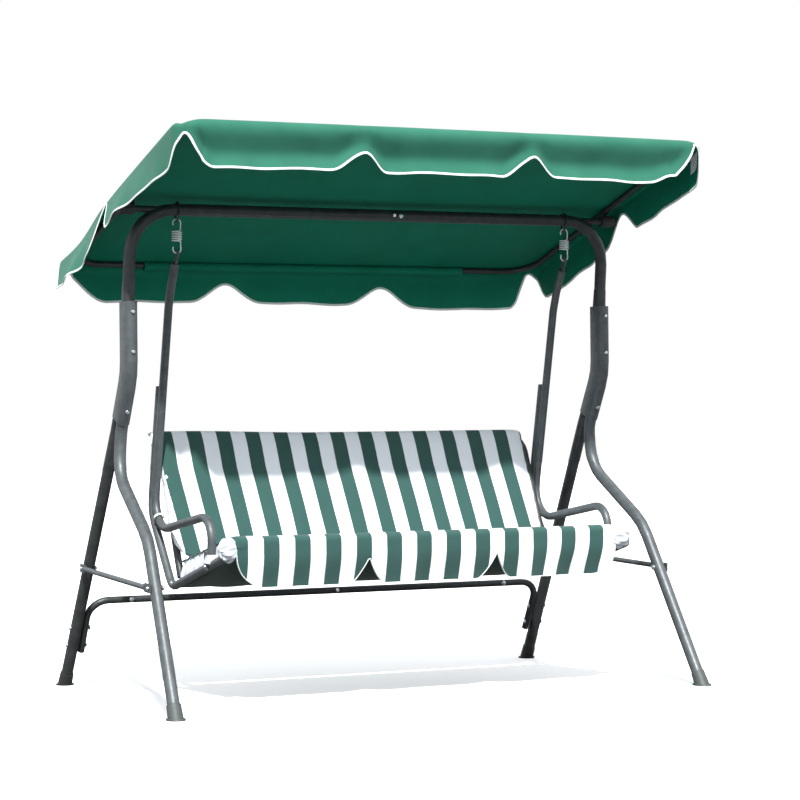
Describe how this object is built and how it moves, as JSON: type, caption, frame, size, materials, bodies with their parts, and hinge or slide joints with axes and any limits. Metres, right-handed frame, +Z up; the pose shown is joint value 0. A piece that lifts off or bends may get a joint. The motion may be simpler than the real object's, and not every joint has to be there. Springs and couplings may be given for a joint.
{
  "type": "canopy swing bench",
  "caption": "Garden swing bench with a tubular steel stand, a cloth seat and back hung on springs, and a tilting scalloped cloth canopy.",
  "frame": {"origin": "on the ground, under the middle of the bounding box", "axes": "+X towards the right as seen from the front, +Y towards the back of the bench, +Z up"},
  "size_m": [1.746, 1.1378, 1.6438],
  "materials": {
    "frame_paint": "satin grey powder coat",
    "dark_paint": "satin dark grey powder coat",
    "bright_zinc": "bright zinc plate",
    "black_plastic": "matt moulded",
    "canopy_cloth": "woven green cloth with white piping",
    "striped_cloth": "woven cloth with broad green and white stripes",
    "sling_cloth": "dark green mesh cloth"
  },
  "bodies": {
    "frame": {"left_rear_leg": "frame_paint", "right_rear_leg": "frame_paint", "left_front_leg": "frame_paint", "right_front_leg": "frame_paint", "left_leg_sleeve": "frame_paint", "right_leg_sleeve": "frame_paint", "left_rear_foot": "black_plastic", "right_rear_foot": "black_plastic", "left_front_foot": "black_plastic", "right_front_foot": "black_plastic", "top_bar_left": "dark_paint", "top_bar_right": "dark_paint", "left_pivot_stub": "dark_paint", "right_pivot_stub": "dark_paint", "left_spring_loop": "dark_paint", "right_spring_loop": "dark_paint", "left_side_brace": "frame_paint", "right_side_brace": "frame_paint", "left_rear_bar_end": "dark_paint", "right_rear_bar_end": "dark_paint", "rear_bar_left_middle": "dark_paint", "rear_bar_right_middle": "dark_paint", "left_sleeve_bolt_upper": "bright_zinc", "right_sleeve_bolt_upper": "bright_zinc", "left_sleeve_bolt_middle": "bright_zinc", "right_sleeve_bolt_middle": "bright_zinc", "left_sleeve_bolt_lower": "bright_zinc", "right_sleeve_bolt_lower": "bright_zinc", "left_brace_bolt_front": "bright_zinc", "right_brace_bolt_front": "bright_zinc", "left_brace_bolt_rear": "bright_zinc", "right_brace_bolt_rear": "bright_zinc", "left_rear_bar_bolt": "bright_zinc", "right_rear_bar_bolt": "bright_zinc", "top_bar_bolt": "bright_zinc", "rear_bar_bolt_middle": "bright_zinc"},
    "canopy": {"canopy_front_bar": "dark_paint", "canopy_rear_bar": "dark_paint", "left_rafter": "dark_paint", "right_rafter": "dark_paint", "left_pivot_plate": "dark_paint", "right_pivot_plate": "dark_paint", "canopy_cover": "canopy_cloth"},
    "left_knob": {"left_pivot_knob": "black_plastic"},
    "right_knob": {"right_pivot_knob": "black_plastic"},
    "suspension": {"left_spring": "bright_zinc", "right_spring": "bright_zinc"},
    "seat": {"left_hanger": "frame_paint", "right_hanger": "frame_paint", "left_seat_side": "frame_paint", "right_seat_side": "frame_paint", "seat_front_rail": "dark_paint", "seat_rear_rail": "dark_paint", "back_frame": "dark_paint", "left_armrest_bolt": "bright_zinc", "right_armrest_bolt": "bright_zinc", "back_pad": "striped_cloth", "seat_pad": "striped_cloth", "seat_flap": "striped_cloth", "seat_sling": "sling_cloth"}
  },
  "joints": [
    {"name": "canopy_tilt", "type": "hinge", "parent": "frame", "child": "canopy", "pos_m": [0, -0.03385, 1.43], "axis": [1, 0, 0], "range_deg": [-20, 30]},
    {"name": "left_knob_turn", "type": "hinge", "parent": "canopy", "child": "left_knob", "pos_m": [0, -0.03385, 1.43], "axis": [1, 0, 0], "continuous": true},
    {"name": "right_knob_turn", "type": "hinge", "parent": "canopy", "child": "right_knob", "pos_m": [0, -0.03385, 1.43], "axis": [1, 0, 0], "continuous": true},
    {"name": "seat_swing", "type": "hinge", "parent": "frame", "child": "suspension", "pos_m": [0, -0.03385, 1.4], "axis": [1, 0, 0], "range_deg": [-18, 18]},
    {"name": "seat_bounce", "type": "slide", "parent": "suspension", "child": "seat", "axis": [0, 0, -1], "range_m": [0, 0.02], "stiffness_N_per_m": 20000, "deforming": ["left_spring", "right_spring"]}
  ]
}
